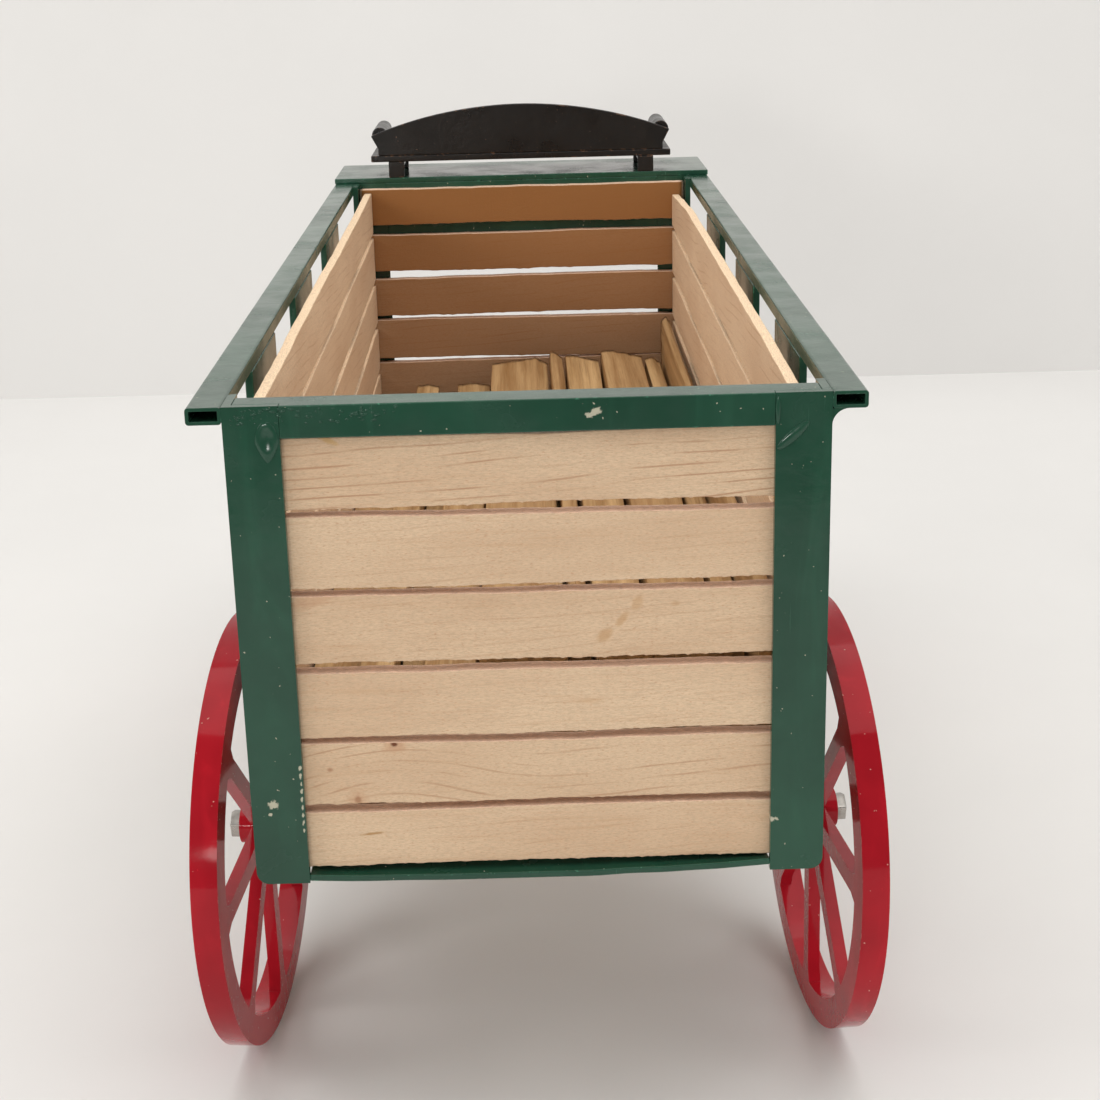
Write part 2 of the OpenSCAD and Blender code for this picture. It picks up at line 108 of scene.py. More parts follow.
KNOT_HUMP = (-0.058, 0.168, 0.034, 0.040, 0)
# How strongly the growth rings show on each wall's boards, from the top
FIGURE = {
    "tail": (1.0, 0.22, 0.30, 0.18, 0.75, 0.25), "front": (0.5, 0.6, 0.5, 0.6, 0.5, 0.5),
    "left": (0.5, 0.35, 0.5, 0.3, 0.4, 0.4), "right": (0.55, 0.3, 0.45, 0.3, 0.4, 0.4),
}
# How far each wall's boards are darkened towards deep orange brown, from the top: a slight tone of the wood on the
# tail and the side walls, and painted shade on the front wall, darkest on the top board under the seat plate
TONE_AND_SHADE = {
    "tail": (0.03, 0.03, 0.03, 0.03, 0.03, 0.03), "front": (1.0, 0.88, 0.82, 0.64, 0.6, 0.6),
    "left": (0.0, 0.0, 0.0, 0.0, 0.0, 0.0), "right": (0.0, 0.0, 0.0, 0.0, 0.0, 0.0),
}

FRAME_NODES = [
    "rear_post_left", "rear_post_right", "front_post_left", "front_post_right", "side_rail_left",
    "side_rail_right", "tail_rail", "front_rail", "sill_left", "sill_right", "tail_floor_bar",
    "front_floor_bar", "floor_cross_bars", "stakes_left", "stakes_right", "seat_plate",
]
GEAR_NODES = ["rear_axle", "front_bolster", "front_axle", "pole"]
SEAT_NODES = ["seat_board", "seat_back", "seat_arms", "seat_brackets"]
WHEEL_NODES = ["rear_wheel_left", "rear_wheel_right", "front_wheel_left", "front_wheel_right"]
FASTENER_NODES = ["king_pin", "king_pin_nut", "pole_pin", "rear_wheel_nuts", "front_wheel_nuts"]


class WagonSizes(bpy.types.PropertyGroup):
    """Sizes that the finished pieces add to the CAD shapes."""

    steel_edge: FloatProperty(
        name="Steel edge", description="Radius on the edges of painted steel", default=0.0005,
        min=0.0001, max=0.001, unit="LENGTH")
    angle_corner: FloatProperty(
        name="Angle corner", description="Radius on the outer corner of a post", default=0.0024,
        min=0.0005, max=0.003, unit="LENGTH")
    tube_corner: FloatProperty(
        name="Tube corner", description="Radius on the outer corners of a side rail", default=0.0012,
        min=0.0005, max=0.002, unit="LENGTH")
    wheel_edge: FloatProperty(
        name="Wheel edge", description="Radius on the edges of a wheel", default=0.0007,
        min=0.0001, max=0.001, unit="LENGTH")
    board_edge: FloatProperty(
        name="Board edge", description="Radius on the long edges of a board", default=0.0005,
        min=0.0001, max=0.001, unit="LENGTH")
    saw_wander: FloatProperty(
        name="Saw wander", description="How far a sawn edge strays from straight", default=0.0007,
        min=0.0, max=0.0015, unit="LENGTH")
    tear_depth: FloatProperty(
        name="Tear depth", description="Depth of the torn fibres on a lower edge", default=0.0007,
        min=0.0, max=0.0015, unit="LENGTH")
    ridge_depth: FloatProperty(
        name="Ridge depth", description="Depth of the ridges on split wood", default=0.0011,
        min=0.0, max=0.002, unit="LENGTH")
    weld_bead: FloatProperty(
        name="Weld bead", description="Width of a weld bead", default=0.0042,
        min=0.002, max=0.006, unit="LENGTH")
    seed: IntProperty(name="Seed", description="Start of the random draws", default=7, min=0)


class WagonColours(bpy.types.PropertyGroup):
    """Base colours of the finishes."""

    green: FloatVectorProperty(
        name="Green enamel", description="Frame and running gear", subtype="COLOR",
        default=(0.0135, 0.058, 0.034), min=0.0, max=1.0)
    red: FloatVectorProperty(
        name="Red enamel", description="Wheels", subtype="COLOR",
        default=(0.35, 0.009, 0.017), min=0.0, max=1.0)
    black: FloatVectorProperty(
        name="Black enamel", description="Seat", subtype="COLOR",
        default=(0.0065, 0.0052, 0.0045), min=0.0, max=1.0)
    lath: FloatVectorProperty(
        name="Lath", description="Pale face of a sawn board", subtype="COLOR",
        default=(0.66, 0.49, 0.33), min=0.0, max=1.0)
    # colour of a board's sawn edges, lighter than the face: a painted highlight for top edges that catch the light
    lath_edge_and_highlight: FloatVectorProperty(
        name="Lath edge", description="Sawn edge of a board", subtype="COLOR",
        default=(0.74, 0.52, 0.38), min=0.0, max=1.0)
    firewood: FloatVectorProperty(
        name="Split wood", description="Split face of the firewood", subtype="COLOR",
        default=(0.50, 0.33, 0.16), min=0.0, max=1.0)
    zinc: FloatVectorProperty(
        name="Zinc", description="Nuts and pins", subtype="COLOR",
        default=(0.42, 0.40, 0.37), min=0.0, max=1.0)
    floor: FloatVectorProperty(
        name="Floor", description="Floor of the stage", subtype="COLOR",
        default=(0.72, 0.712, 0.70), min=0.0, max=1.0)


class WagonView(bpy.types.PropertyGroup):
    """Camera of the stage."""

    place: FloatVectorProperty(
        name="Place", description="Where the camera stands", subtype="XYZ", unit="LENGTH",
        default=(0.0004, -1.1047, 0.4772))
    pitch: FloatProperty(
        name="Pitch", description="Angle below the horizon", subtype="ANGLE", default=math.radians(18.15))
    yaw: FloatProperty(
        name="Yaw", description="Turn to the right of straight ahead", subtype="ANGLE",
        default=math.radians(0.55))
    roll: FloatProperty(
        name="Roll", description="Turn about the line of sight", subtype="ANGLE",
        default=math.radians(-1.41))
    lens: FloatProperty(
        name="Lens", description="Focal length on a 36 mm sensor, in millimetres", default=63.2,
        min=20.0, max=200.0)


def sizes():
    """The wagon's size settings."""
    return bpy.context.scene.wagon_sizes


def colours():
    """The wagon's colour settings."""
    return bpy.context.scene.wagon_colours


# ---------------------------------------------------------------- node materials


class Finish:
    """A node material while it is put together."""

    def __init__(self, name):
        self.material = bpy.data.materials.new(name)
        self.material.use_nodes = True
        self.tree = self.material.node_tree
        self.shader = self.tree.nodes["Principled BSDF"]
        self.place = self.add("ShaderNodeTexCoord").outputs["Object"]

    def add(self, kind, values=None, **settings):
        """Add a node. A value that is a socket is linked, any other is set on the node's own socket."""
        node = self.tree.nodes.new(kind)
        for key, value in settings.items():
            setattr(node, key, value)
        for key, value in (values or {}).items():
            if isinstance(value, bpy.types.NodeSocket):
                self.tree.links.new(value, node.inputs[key])
            else:
                node.inputs[key].default_value = value
        return node

    def stretch(self, scale, source=None, turn=(0, 0, 0), shift=(0, 0, 0)):
        """Coordinates, stretched by a scale for each axis."""
        mapping = self.add("ShaderNodeMapping", {
            "Vector": source or self.place, "Scale": scale, "Rotation": turn, "Location": shift})
        return mapping.outputs["Vector"]

    def noise(self, scale, detail=3.0, source=None, rough=0.55, warp=0.0):
        """Noise from 0 to 1, with scale as a number or as one number for each axis."""
        if not isinstance(scale, (int, float)):
            source = self.stretch(scale, source)
            scale = 1.0
        return self.add("ShaderNodeTexNoise", {
            "Vector": source or self.place, "Scale": scale, "Detail": detail, "Roughness": rough,
            "Distortion": warp}).outputs["Fac"]

    def maths(self, operation, first, second=0.0, clamp=False):
        """One step of arithmetic."""
        node = self.add("ShaderNodeMath", {0: first, 1: second}, operation=operation, use_clamp=clamp)
        return node.outputs[0]

    def band(self, value, low, high, start=0.0, end=1.0):
        """Value from low to high, carried to start to end along a smooth step."""
        node = self.add("ShaderNodeMapRange", {
            "Value": value, "From Min": low, "From Max": high, "To Min": start, "To Max": end},
            interpolation_type="SMOOTHSTEP")
        return node.outputs["Result"]

    def mix(self, share, first, second, blend="MIX"):
        """Two colours, mixed."""
        node = self.add("ShaderNodeMix", data_type="RGBA", blend_type=blend)
        for key, value in (("Factor", share), ("A", first), ("B", second)):
            sockets = [s for s in node.inputs if s.name == key and s.enabled]
            if isinstance(value, bpy.types.NodeSocket):
                self.tree.links.new(value, sockets[0])
            else:
                sockets[0].default_value = value if key == "Factor" else (*value[:3], 1.0)
        return [s for s in node.outputs if s.enabled][0]

    def attribute(self, name):
        """A number that the mesh carries on its points."""
        return self.add("ShaderNodeAttribute", attribute_name=name).outputs["Fac"]

    def spot(self, mark, ragged=1.2, scale=900.0, soft=0.3):
        """1 inside a ragged oval on the tail, 0 outside. The mark gives its centre, half sizes and slant."""
        x, z, half_wide, half_high, slant = mark
        oval = self.add("ShaderNodeMapping", {
            "Vector": self.place, "Location": (x, TAIL_Y, z), "Rotation": (0, math.radians(slant), 0),
            "Scale": (half_wide, 0.02, half_high)}, vector_type="TEXTURE")
        away = self.add("ShaderNodeVectorMath", {0: oval.outputs["Vector"]}, operation="LENGTH").outputs["Value"]
        wobble = self.maths("MULTIPLY", self.maths("SUBTRACT", self.noise(scale, 2.0), 0.5), 2 * ragged)
        return self.band(self.maths("ADD", away, wobble), 1.0 + soft, 1.0 - soft)

    def bump(self, height, depth, strength=1.0, under=None):
        """Bump of a real depth, over another bump if there is one."""
        values = {"Height": height, "Distance": depth, "Strength": strength}
        if under is not None:
            values["Normal"] = under
        return self.add("ShaderNodeBump", values).outputs["Normal"]

    def finish(self, colour, roughness, normal, **fixed):
        """Join the pattern to the shader. Even values are set on the shader itself."""
        for key, value in (("Base Color", colour), ("Roughness", roughness), ("Normal", normal)):
            if isinstance(value, bpy.types.NodeSocket):
                self.tree.links.new(value, self.shader.inputs[key])
            else:
                self.shader.inputs[key].default_value = value
        for key, value in fixed.items():
            self.shader.inputs[key.replace("_", " ")].default_value = value
        return self.material


def shade(colour, factor):
    """A lighter or darker tone of a colour."""
    return tuple(min(1.0, c * factor) for c in colour)


def enamel(name, colour, chip_colour, gloss, chips=(), worn=0.0, peel=0.00006, sheen=0.32, coat=0.12):
    """Brushed or sprayed enamel with orange peel, dust nibs, fine scratches, and chips where they were knocked."""
    f = Finish(name)
    cloud = f.noise(18.0, 4.0)
    paint = f.mix(f.band(cloud, 0.35, 0.7), shade(colour, 0.86), shade(colour, 1.14))
    thin = f.noise((60.0, 60.0, 9.0), 3.0, warp=1.5)
    paint = f.mix(f.maths("MULTIPLY", f.band(thin, 0.52, 0.75), 0.35), paint, shade(colour, 1.5))
    hair = f.noise((1400.0, 1400.0, 24.0), 2.0, warp=0.8)
    scratch = f.maths("MULTIPLY", f.band(hair, 0.71, 0.76), f.band(f.noise(30.0, 2.0), 0.5, 0.62))
    nib = f.band(f.noise(620.0, 1.0), 0.775, 0.8)
    knocked = nib
    for chip in chips:
        knocked = f.maths("MAXIMUM", knocked, f.spot(chip))
    if worn > 0.0:
        rub = f.band(f.noise(330.0, 4.0, rough=0.65), 0.62 - worn, 0.70 - worn)
        knocked = f.maths("MAXIMUM", knocked, rub)
    paint = f.mix(f.maths("MULTIPLY", scratch, 0.55), paint, shade(colour, 2.6))
    paint = f.mix(knocked, paint, chip_colour)
    rough = f.band(f.noise(45.0, 4.0), 0.3, 0.75, gloss * 0.75, gloss * 1.5)
    rough = f.maths("ADD", rough, f.maths("MULTIPLY", f.maths("MAXIMUM", knocked, scratch), 0.35), clamp=True)
    wave = f.bump(f.noise(55.0, 2.0), 0.0007, 0.35)
    skin = f.bump(f.noise(420.0, 2.0), peel, 0.8, under=wave)
    dent = f.bump(f.maths("SUBTRACT", 1.0, knocked), 0.00015, 0.6, under=skin)
    return f.finish(paint, rough, dent, Specular_IOR_Level=sheen, Coat_Weight=coat, Coat_Roughness=0.06)


def maple(name, along_y, pale, edge, marks=()):
    """Sawn maple. The grain runs along the board, and each board has its own cut of the tree."""
    f = Finish(name)
    turned = f.stretch((1, 1, 1), turn=(0, 0, math.pi / 2)) if along_y else f.place
    board = f.attribute("board")
    tone = f.attribute("tone")
    offset = f.add("ShaderNodeCombineXYZ", {
        "X": f.maths("MULTIPLY", board, 0.731), "Y": f.maths("MULTIPLY", board, 0.057),
        "Z": f.maths("MULTIPLY", board, 0.193)}).outputs["Vector"]
    cut = f.add("ShaderNodeVectorMath", {0: turned, 1: offset}, operation="ADD").outputs["Vector"]
    # growth rings: level lines of the height on the board, sloped, bent and humped about a knot
    split = f.add("ShaderNodeSeparateXYZ", {"Vector": cut})
    slope = f.maths("MULTIPLY", split.outputs["X"], 0.07)
    bend = f.maths("MULTIPLY", f.noise((7.0, 30.0, 30.0), 2.0, source=cut), 0.012)
    hump = f.maths("MULTIPLY", f.spot(KNOT_HUMP, 0.0, soft=0.95), f.maths("MULTIPLY", f.attribute("hump"), 0.012))
    height = f.maths("SUBTRACT", f.maths("ADD", split.outputs["Z"], bend), f.maths("ADD", slope, hump))
    fold = f.maths("PINGPONG", f.maths("DIVIDE", height, 0.0043), 0.5)
    ring = f.maths("MULTIPLY", f.band(fold, 0.13, 0.01), f.band(f.noise((22.0, 160.0, 160.0), 2.0, source=cut), 0.42, 0.62))
    ring = f.maths("MULTIPLY", ring, f.attribute("figure"))
    fibre = f.noise((460.0, 2900.0, 2900.0), 4.0, source=cut, rough=0.75)
    streak = f.noise((30.0, 700.0, 700.0), 4.0, source=cut, rough=0.6)
    fleck = f.noise((620.0, 3000.0, 3000.0), 2.0, source=cut)
    cloud = f.noise((9.0, 34.0, 34.0), 3.0, source=cut)
    face = f.mix(f.band(cloud, 0.3, 0.75), shade(pale, 1.08), (pale[0] * 0.93, pale[1] * 0.86, pale[2] * 0.82))
    face = f.mix(f.maths("MULTIPLY", f.band(fibre, 0.36, 0.70), 0.62), face, shade(pale, 0.68))
    face = f.mix(f.maths("MULTIPLY", f.band(streak, 0.5, 0.8), 0.5), face, (pale[0] * 0.82, pale[1] * 0.70, pale[2] * 0.62))
    face = f.mix(f.maths("MULTIPLY", f.band(fleck, 0.56, 0.70), 0.55), face, (pale[0] * 0.74, pale[1] * 0.52, pale[2] * 0.44))
    face = f.mix(f.maths("MULTIPLY", ring, 0.75), face, (pale[0] * 0.60, pale[1] * 0.42, pale[2] * 0.34))
    for mark, depth, tint in marks:
        stain = tuple(channel * share for channel, share in zip(pale, tint))
        face = f.mix(f.maths("MULTIPLY", f.spot(mark, 0.5, 500.0, 0.5), depth), face, stain)
    # each board's tone darkens it towards deep orange brown: a random tone of the wood, and painted shade on the front
    # wall's boards
    face = f.mix(tone, face, (pale[0] * 0.42, pale[1] * 0.23, pale[2] * 0.09))
    # the long edges and the ends were sawn across the rings and look browner; they are also coloured lighter than the
    # face, a painted highlight for the top edges that catch the light in the gaps
    facing = f.add("ShaderNodeSeparateXYZ", {"Vector": f.add("ShaderNodeTexCoord").outputs["Normal"]})
    up = f.maths("ABSOLUTE", facing.outputs["Z"])
    end = f.maths("ABSOLUTE", facing.outputs["Y" if along_y else "X"])
    sawn_edge_highlight_mask = f.band(f.maths("MAXIMUM", up, end), 0.55, 0.9)
    sawn = f.mix(f.band(fibre, 0.3, 0.7), shade(edge, 1.25), shade(edge, 0.72))
    colour = f.mix(sawn_edge_highlight_mask, face, sawn)
    rough = f.band(fibre, 0.3, 0.8, 0.62, 0.85)
    grain = f.bump(fibre, 0.0003, 0.8)
    teeth = f.noise((1300.0, 60.0, 60.0), 2.0, source=cut)
    sawed = f.bump(teeth, 0.00015, 0.4, under=grain)
    return f.finish(colour, rough, sawed, Specular_IOR_Level=0.25)


def split_wood(name, tan):
    """Freshly split firewood: long fibres, darker valleys and a few grey or reddish faces."""
    f = Finish(name)
    billet = f.attribute("board")
    offset = f.add("ShaderNodeCombineXYZ", {
        "X": f.maths("MULTIPLY", billet, 0.31), "Y": f.maths("MULTIPLY", billet, 0.77),
        "Z": f.maths("MULTIPLY", billet, 0.13)}).outputs["Vector"]
    cut = f.add("ShaderNodeVectorMath", {0: f.place, 1: offset}, operation="ADD").outputs["Vector"]
    streak = f.noise((170.0, 5.0, 170.0), 5.0, source=cut, rough=0.62)
    fibre = f.noise((1200.0, 28.0, 1200.0), 4.0, source=cut, rough=0.7)
    cloud = f.noise((22.0, 6.0, 22.0), 3.0, source=cut)
    face = f.mix(f.band(streak, 0.3, 0.7), shade(tan, 1.25), (tan[0] * 0.66, tan[1] * 0.55, tan[2] * 0.42))
    face = f.mix(f.maths("MULTIPLY", f.band(cloud, 0.5, 0.72), 0.5), face, (tan[0] * 0.8, tan[1] * 0.72, tan[2] * 0.7))
    face = f.mix(f.maths("MULTIPLY", f.band(fibre, 0.5, 0.8), 0.6), face, shade(tan, 0.42))
    tone = f.attribute("tone")
    face = f.mix(tone, face, (tan[0] * 0.55, tan[1] * 0.40, tan[2] * 0.30))
    facing = f.add("ShaderNodeSeparateXYZ", {"Vector": f.add("ShaderNodeTexCoord").outputs["Normal"]})
    end = f.band(f.maths("ABSOLUTE", facing.outputs["Y"]), 0.7, 0.95)
    rings = f.noise((260.0, 90.0, 260.0), 4.0, source=cut, warp=1.2)
    sawn = f.mix(f.band(rings, 0.35, 0.65), shade(tan, 1.1), shade(tan, 0.6))
    colour = f.mix(end, face, sawn)
    height = f.bump(streak, 0.0012, 0.6)
    fine = f.bump(fibre, 0.0004, 0.7, under=height)
    return f.finish(colour, f.band(fibre, 0.3, 0.8, 0.6, 0.85), fine, Specular_IOR_Level=0.25)


def plated(name, colour):
    """Zinc plate, dulled and a little rusty in its low places."""
    f = Finish(name)
    cloud = f.noise(160.0, 4.0)
    skin = f.mix(f.band(cloud, 0.35, 0.7), shade(colour, 1.1), shade(colour, 0.72))
    rust = f.band(f.noise(420.0, 5.0, rough=0.7), 0.60, 0.70)
    skin = f.mix(f.maths("MULTIPLY", rust, 0.6), skin, (0.20, 0.11, 0.06))
    rough = f.maths("ADD", f.band(cloud, 0.3, 0.7, 0.24, 0.42), f.maths("MULTIPLY", rust, 0.35))
    return f.finish(skin, rough, f.bump(f.noise(900.0, 3.0), 0.00008, 0.5), Metallic=0.9)


def plain_paper(name, colour):
    """Floor and backdrop of the stage: sheets with a front only, so nothing hides behind them in other views."""
    f = Finish(name)
    cloud = f.noise(3.0, 4.0)
    tone = f.mix(f.band(cloud, 0.3, 0.7), shade(colour, 0.985), shade(colour, 1.015))
    back = f.add("ShaderNodeNewGeometry").outputs["Backfacing"]
    clear = f.add("ShaderNodeBsdfTransparent").outputs["BSDF"]
    sheet = f.add("ShaderNodeMixShader", {0: back, 1: f.shader.outputs["BSDF"], 2: clear}).outputs["Shader"]
    f.tree.links.new(sheet, f.tree.nodes["Material Output"].inputs["Surface"])
    return f.finish(tone, 0.7, f.bump(f.noise(60.0, 3.0), 0.0004, 0.2), Specular_IOR_Level=0.2)


# ---------------------------------------------------------------- mesh helpers


def node_mesh(node):
    """A bmesh copy of a CAD node, with its loose triangles merged and its flat faces made whole."""
    bm = bmesh.new()
    bm.from_mesh(frame["nodes"][node].data)
    bmesh.ops.remove_doubles(bm, verts=bm.verts, dist=1e-6)
    bmesh.ops.dissolve_limit(
        bm, angle_limit=math.radians(0.4), use_dissolve_boundaries=False, verts=bm.verts, edges=bm.edges)
    return bm


def hard_edges(bm, least=30.0):
    """Edges whose faces meet at more than least degrees."""
    return [e for e in bm.edges if len(e.link_faces) == 2 and e.calc_face_angle(0.0) > math.radians(least)]


def round_over(bm, edges, radius, segments=2):
    """Round edges over and return the new faces."""
    made = bmesh.ops.bevel(
        bm, geom=edges, offset=radius, offset_type="OFFSET", segments=segments, profile=0.5,
        affect="EDGES", clamp_overlap=True, material=-1)
    return made["faces"]


def length_of(edge, axis):
    """How far an edge runs along an axis."""
    return abs(edge.verts[0].co[axis] - edge.verts[1].co[axis])


def stamp(bm, **values):
    """Give every point of a board the same values, such as its number and its tone."""
    for name, value in values.items():
        layer = bm.verts.layers.float.new(name)
        for v in bm.verts:
            v[layer] = value


def place_piece(name, bm, body, materials, nodes=()):
    """Make an object of a finished bmesh, ride it on a body and let it stand for its CAD nodes."""
    mesh = bpy.data.meshes.new(name)
    bm.to_mesh(mesh)
    bm.free()
    mesh.shade_smooth()
    for material in materials:
        mesh.materials.append(material)
    piece = bpy.data.objects.new(name, mesh)
    bpy.context.scene.collection.objects.link(piece)
    piece.modifiers.new("Even normals", "WEIGHTED_NORMAL").keep_sharp = False
    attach(piece, body)
    if nodes:
        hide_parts(*nodes)
    return piece


def place_node(node, ending, bm, materials):
    """Place a bmesh that stands for one CAD node."""
    body = frame["nodes"][node]["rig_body"]
    return place_piece(f"{node}_{ending}", bm, body, materials, [node])


def ease(node, ending, face, edge, radius, segments=2, first=None):
    """Finish a CAD node's shape with rounded edges, whose faces take the edge material."""
    bm = node_mesh(node)
    if first:
        first(bm)
    for new in round_over(bm, hard_edges(bm), radius, segments):
        new.material_index = 1
    return place_node(node, ending, bm, [face, edge])


def wander(along, seed, wave, fine):
    """A wandering offset along a length: a slow wave and a finer one."""
    slow = noise.noise(Vector((along * 9.0, seed * 3.17, 0.5)))
    quick = noise.noise(Vector((along * 60.0, seed * 1.31, 7.5)))
    tiny = noise.noise(Vector((along * 420.0, seed * 2.09, 3.5)))
    return wave * (1.6 * slow + 0.5 * quick) + fine * tiny


# ---------------------------------------------------------------- materials, made once each


def finishes():
    """All finishes of the wagon, made the first time that they are asked for."""
    names = ("Green enamel", "Green edge", "Red enamel", "Red edge", "Black enamel", "Black edge",
             "Lath across", "Lath along painted lighter", "Split wood", "Zinc plate")
    if names[0] in bpy.data.materials:
        return {name: bpy.data.materials[name] for name in names}
    c = colours()
    green, red, black = c.green[:], c.red[:], c.black[:]
    primer = (0.42, 0.40, 0.30)
    bare = (0.16, 0.09, 0.055)
    made = [
        enamel(names[0], green, primer, 0.2, PAINT_CHIPS),
        enamel(names[1], shade(green, 1.15), shade(green, 3.2), 0.26, worn=0.02),
        enamel(names[2], red, (0.60, 0.33, 0.28), 0.11, sheen=0.06, coat=0.26),
        enamel(names[3], shade(red, 0.92), (0.55, 0.28, 0.24), 0.2, worn=0.06),
        enamel(names[4], black, bare, 0.34, peel=0.0001),
        enamel(names[5], shade(black, 1.3), shade(bare, 0.7), 0.42, worn=0.07),
        maple(names[6], False, c.lath[:], c.lath_edge_and_highlight[:], BOARD_MARKS),
        # the side walls and the floor boards take a lighter copy of the same lath, painted light, and its edges
        # lighter still, a painted highlight
        maple(names[7], True, shade(c.lath[:], 1.16), shade(c.lath[:], 1.22)),
        split_wood(names[8], c.firewood[:]),
        plated(names[9], c.zinc[:]),
    ]
    return dict(zip(names, made))


# ---------------------------------------------------------------- operators


class WAGON_OT_frame_steel(bpy.types.Operator):
    """Posts, rails, sills, bars, stakes and the seat plate, with rounded edges and enamel"""

    bl_idname = "wagon.frame_steel"
    bl_label = "Steel frame"

    def execute(self, context):
        made = finishes()

        def outer_corner(bm):
            """Round the outer corner of an angle from top to bottom."""
            reach = max(abs(v.co.x) for v in bm.verts)
            edges = [e for e in bm.edges if length_of(e, 2) > 0.1
                     and all(abs(abs(v.co.x) - reach) < 1e-5 for v in e.verts)]
            outside = max(edges, key=lambda e: abs(e.verts[0].co.y - (POST_LOW.y + POST_HIGH.y) / 2)
                          if e.verts[0].co.y < 0 else e.verts[0].co.y)
            round_over(bm, [outside], sizes().angle_corner, 5)

        def tube_corners(bm):
            """Round the outer corners of a tube along its length."""
            low, high = Vector(map(min, *(v.co for v in bm.verts))), Vector(map(max, *(v.co for v in bm.verts)))
            edges = [e for e in bm.edges if length_of(e, 1) > 0.1 and all(
                min(abs(v.co[k] - low[k]), abs(v.co[k] - high[k])) < 1e-5 for v in e.verts for k in (0, 2))]
            round_over(bm, edges, sizes().tube_corner, 4)

        def wavy_edge(bm):
            """Let the leaf of the bar across the tail sag in its middle and rise to its ends."""
            runs = [e for e in bm.edges if length_of(e, 0) > 0.1]
            bmesh.ops.subdivide_edges(bm, edges=runs, cuts=60, use_grid_fill=True)
            low = min(v.co.z for v in bm.verts)
            front = min(v.co.y for v in bm.verts)
            for v in bm.verts:
                if v.co.z < low + 0.0027 and v.co.y < front + 0.001:
                    rise = max(0.0, abs(v.co.x + 0.012) - 0.012)
                    v.co.z += 0.35 * rise ** 2 - 0.0007 + 0.0003 * noise.noise(Vector((v.co.x * 60.0, 0.5, 0.5)))

        shaping = {"side_rail_left": tube_corners, "side_rail_right": tube_corners, "tail_floor_bar": wavy_edge}
        for node in FRAME_NODES:
            first = outer_corner if "post" in node else shaping.get(node)
            ease(node, "painted", made["Green enamel"], made["Green edge"], sizes().steel_edge, 2, first)
        return {"FINISHED"}


class WAGON_OT_lath(bpy.types.Operator):
    """Sawn wall boards and floor boards, with wandering and torn edges"""

    bl_idname = "wagon.lath"
    bl_label = "Lath boards"

    def execute(self, context):
        made = finishes()
        rng = random.Random(sizes().seed)
        number = 0
        for wall, axis, step in (("tail", 0, 0.0011), ("front", 0, 0.003), ("left", 1, 0.003), ("right", 1, 0.003)):
            look = made["Lath along painted lighter"] if axis == 1 else made["Lath across"]
            for i in range(1, 7):
                number += 1
                node = f"{wall}_slat_{i}"
                bm = self.board(node_mesh(node), axis, step, number)
                # on the front wall this darkening is painted shade
                tone = TONE_AND_SHADE[wall][i - 1] + rng.uniform(-0.03, 0.06)
                stamp(bm, board=number, tone=tone, figure=FIGURE[wall][i - 1], hump=float(node == "tail_slat_5"))
                place_node(node, "sawn", bm, [look])
        bm = self.board(node_mesh("floor_boards"), 1, 0.006, number + 1)
        stamp(bm, board=number + 1, tone=0.3, figure=0.5, hump=0.0)
        place_node("floor_boards", "sawn", bm, [made["Lath along painted lighter"]])
        return {"FINISHED"}

    def board(self, bm, axis, step, number):
        """Cut a board into short lengths and let its edges wander and tear."""
        runs = [e for e in bm.edges if length_of(e, axis) > 0.1]
        span = max(length_of(e, axis) for e in runs)
        round_over(bm, runs, sizes().board_edge, 2)
        runs = [e for e in bm.edges if length_of(e, axis) > 0.1]
        bmesh.ops.subdivide_edges(bm, edges=runs, cuts=int(span / step), use_grid_fill=True)
        mid = sum((v.co for v in bm.verts), Vector()) / len(bm.verts)
        across = 1 - axis
        for v in bm.verts:
            t = v.co[axis]
            if v.co.z > mid.z:
                v.co.z += wander(t, number, sizes().saw_wander, 0.00015)
            else:
                torn = max(0.0, noise.noise(Vector((t * 520.0, number, v.co[across] * 300.0))))
                v.co.z += wander(t, number + 50, sizes().saw_wander, 0.0002) - sizes().tear_depth * torn
            v.co[across] += 0.00012 * noise.noise(Vector((t * 40.0, v.co.z * 60.0, number)))
        return bm


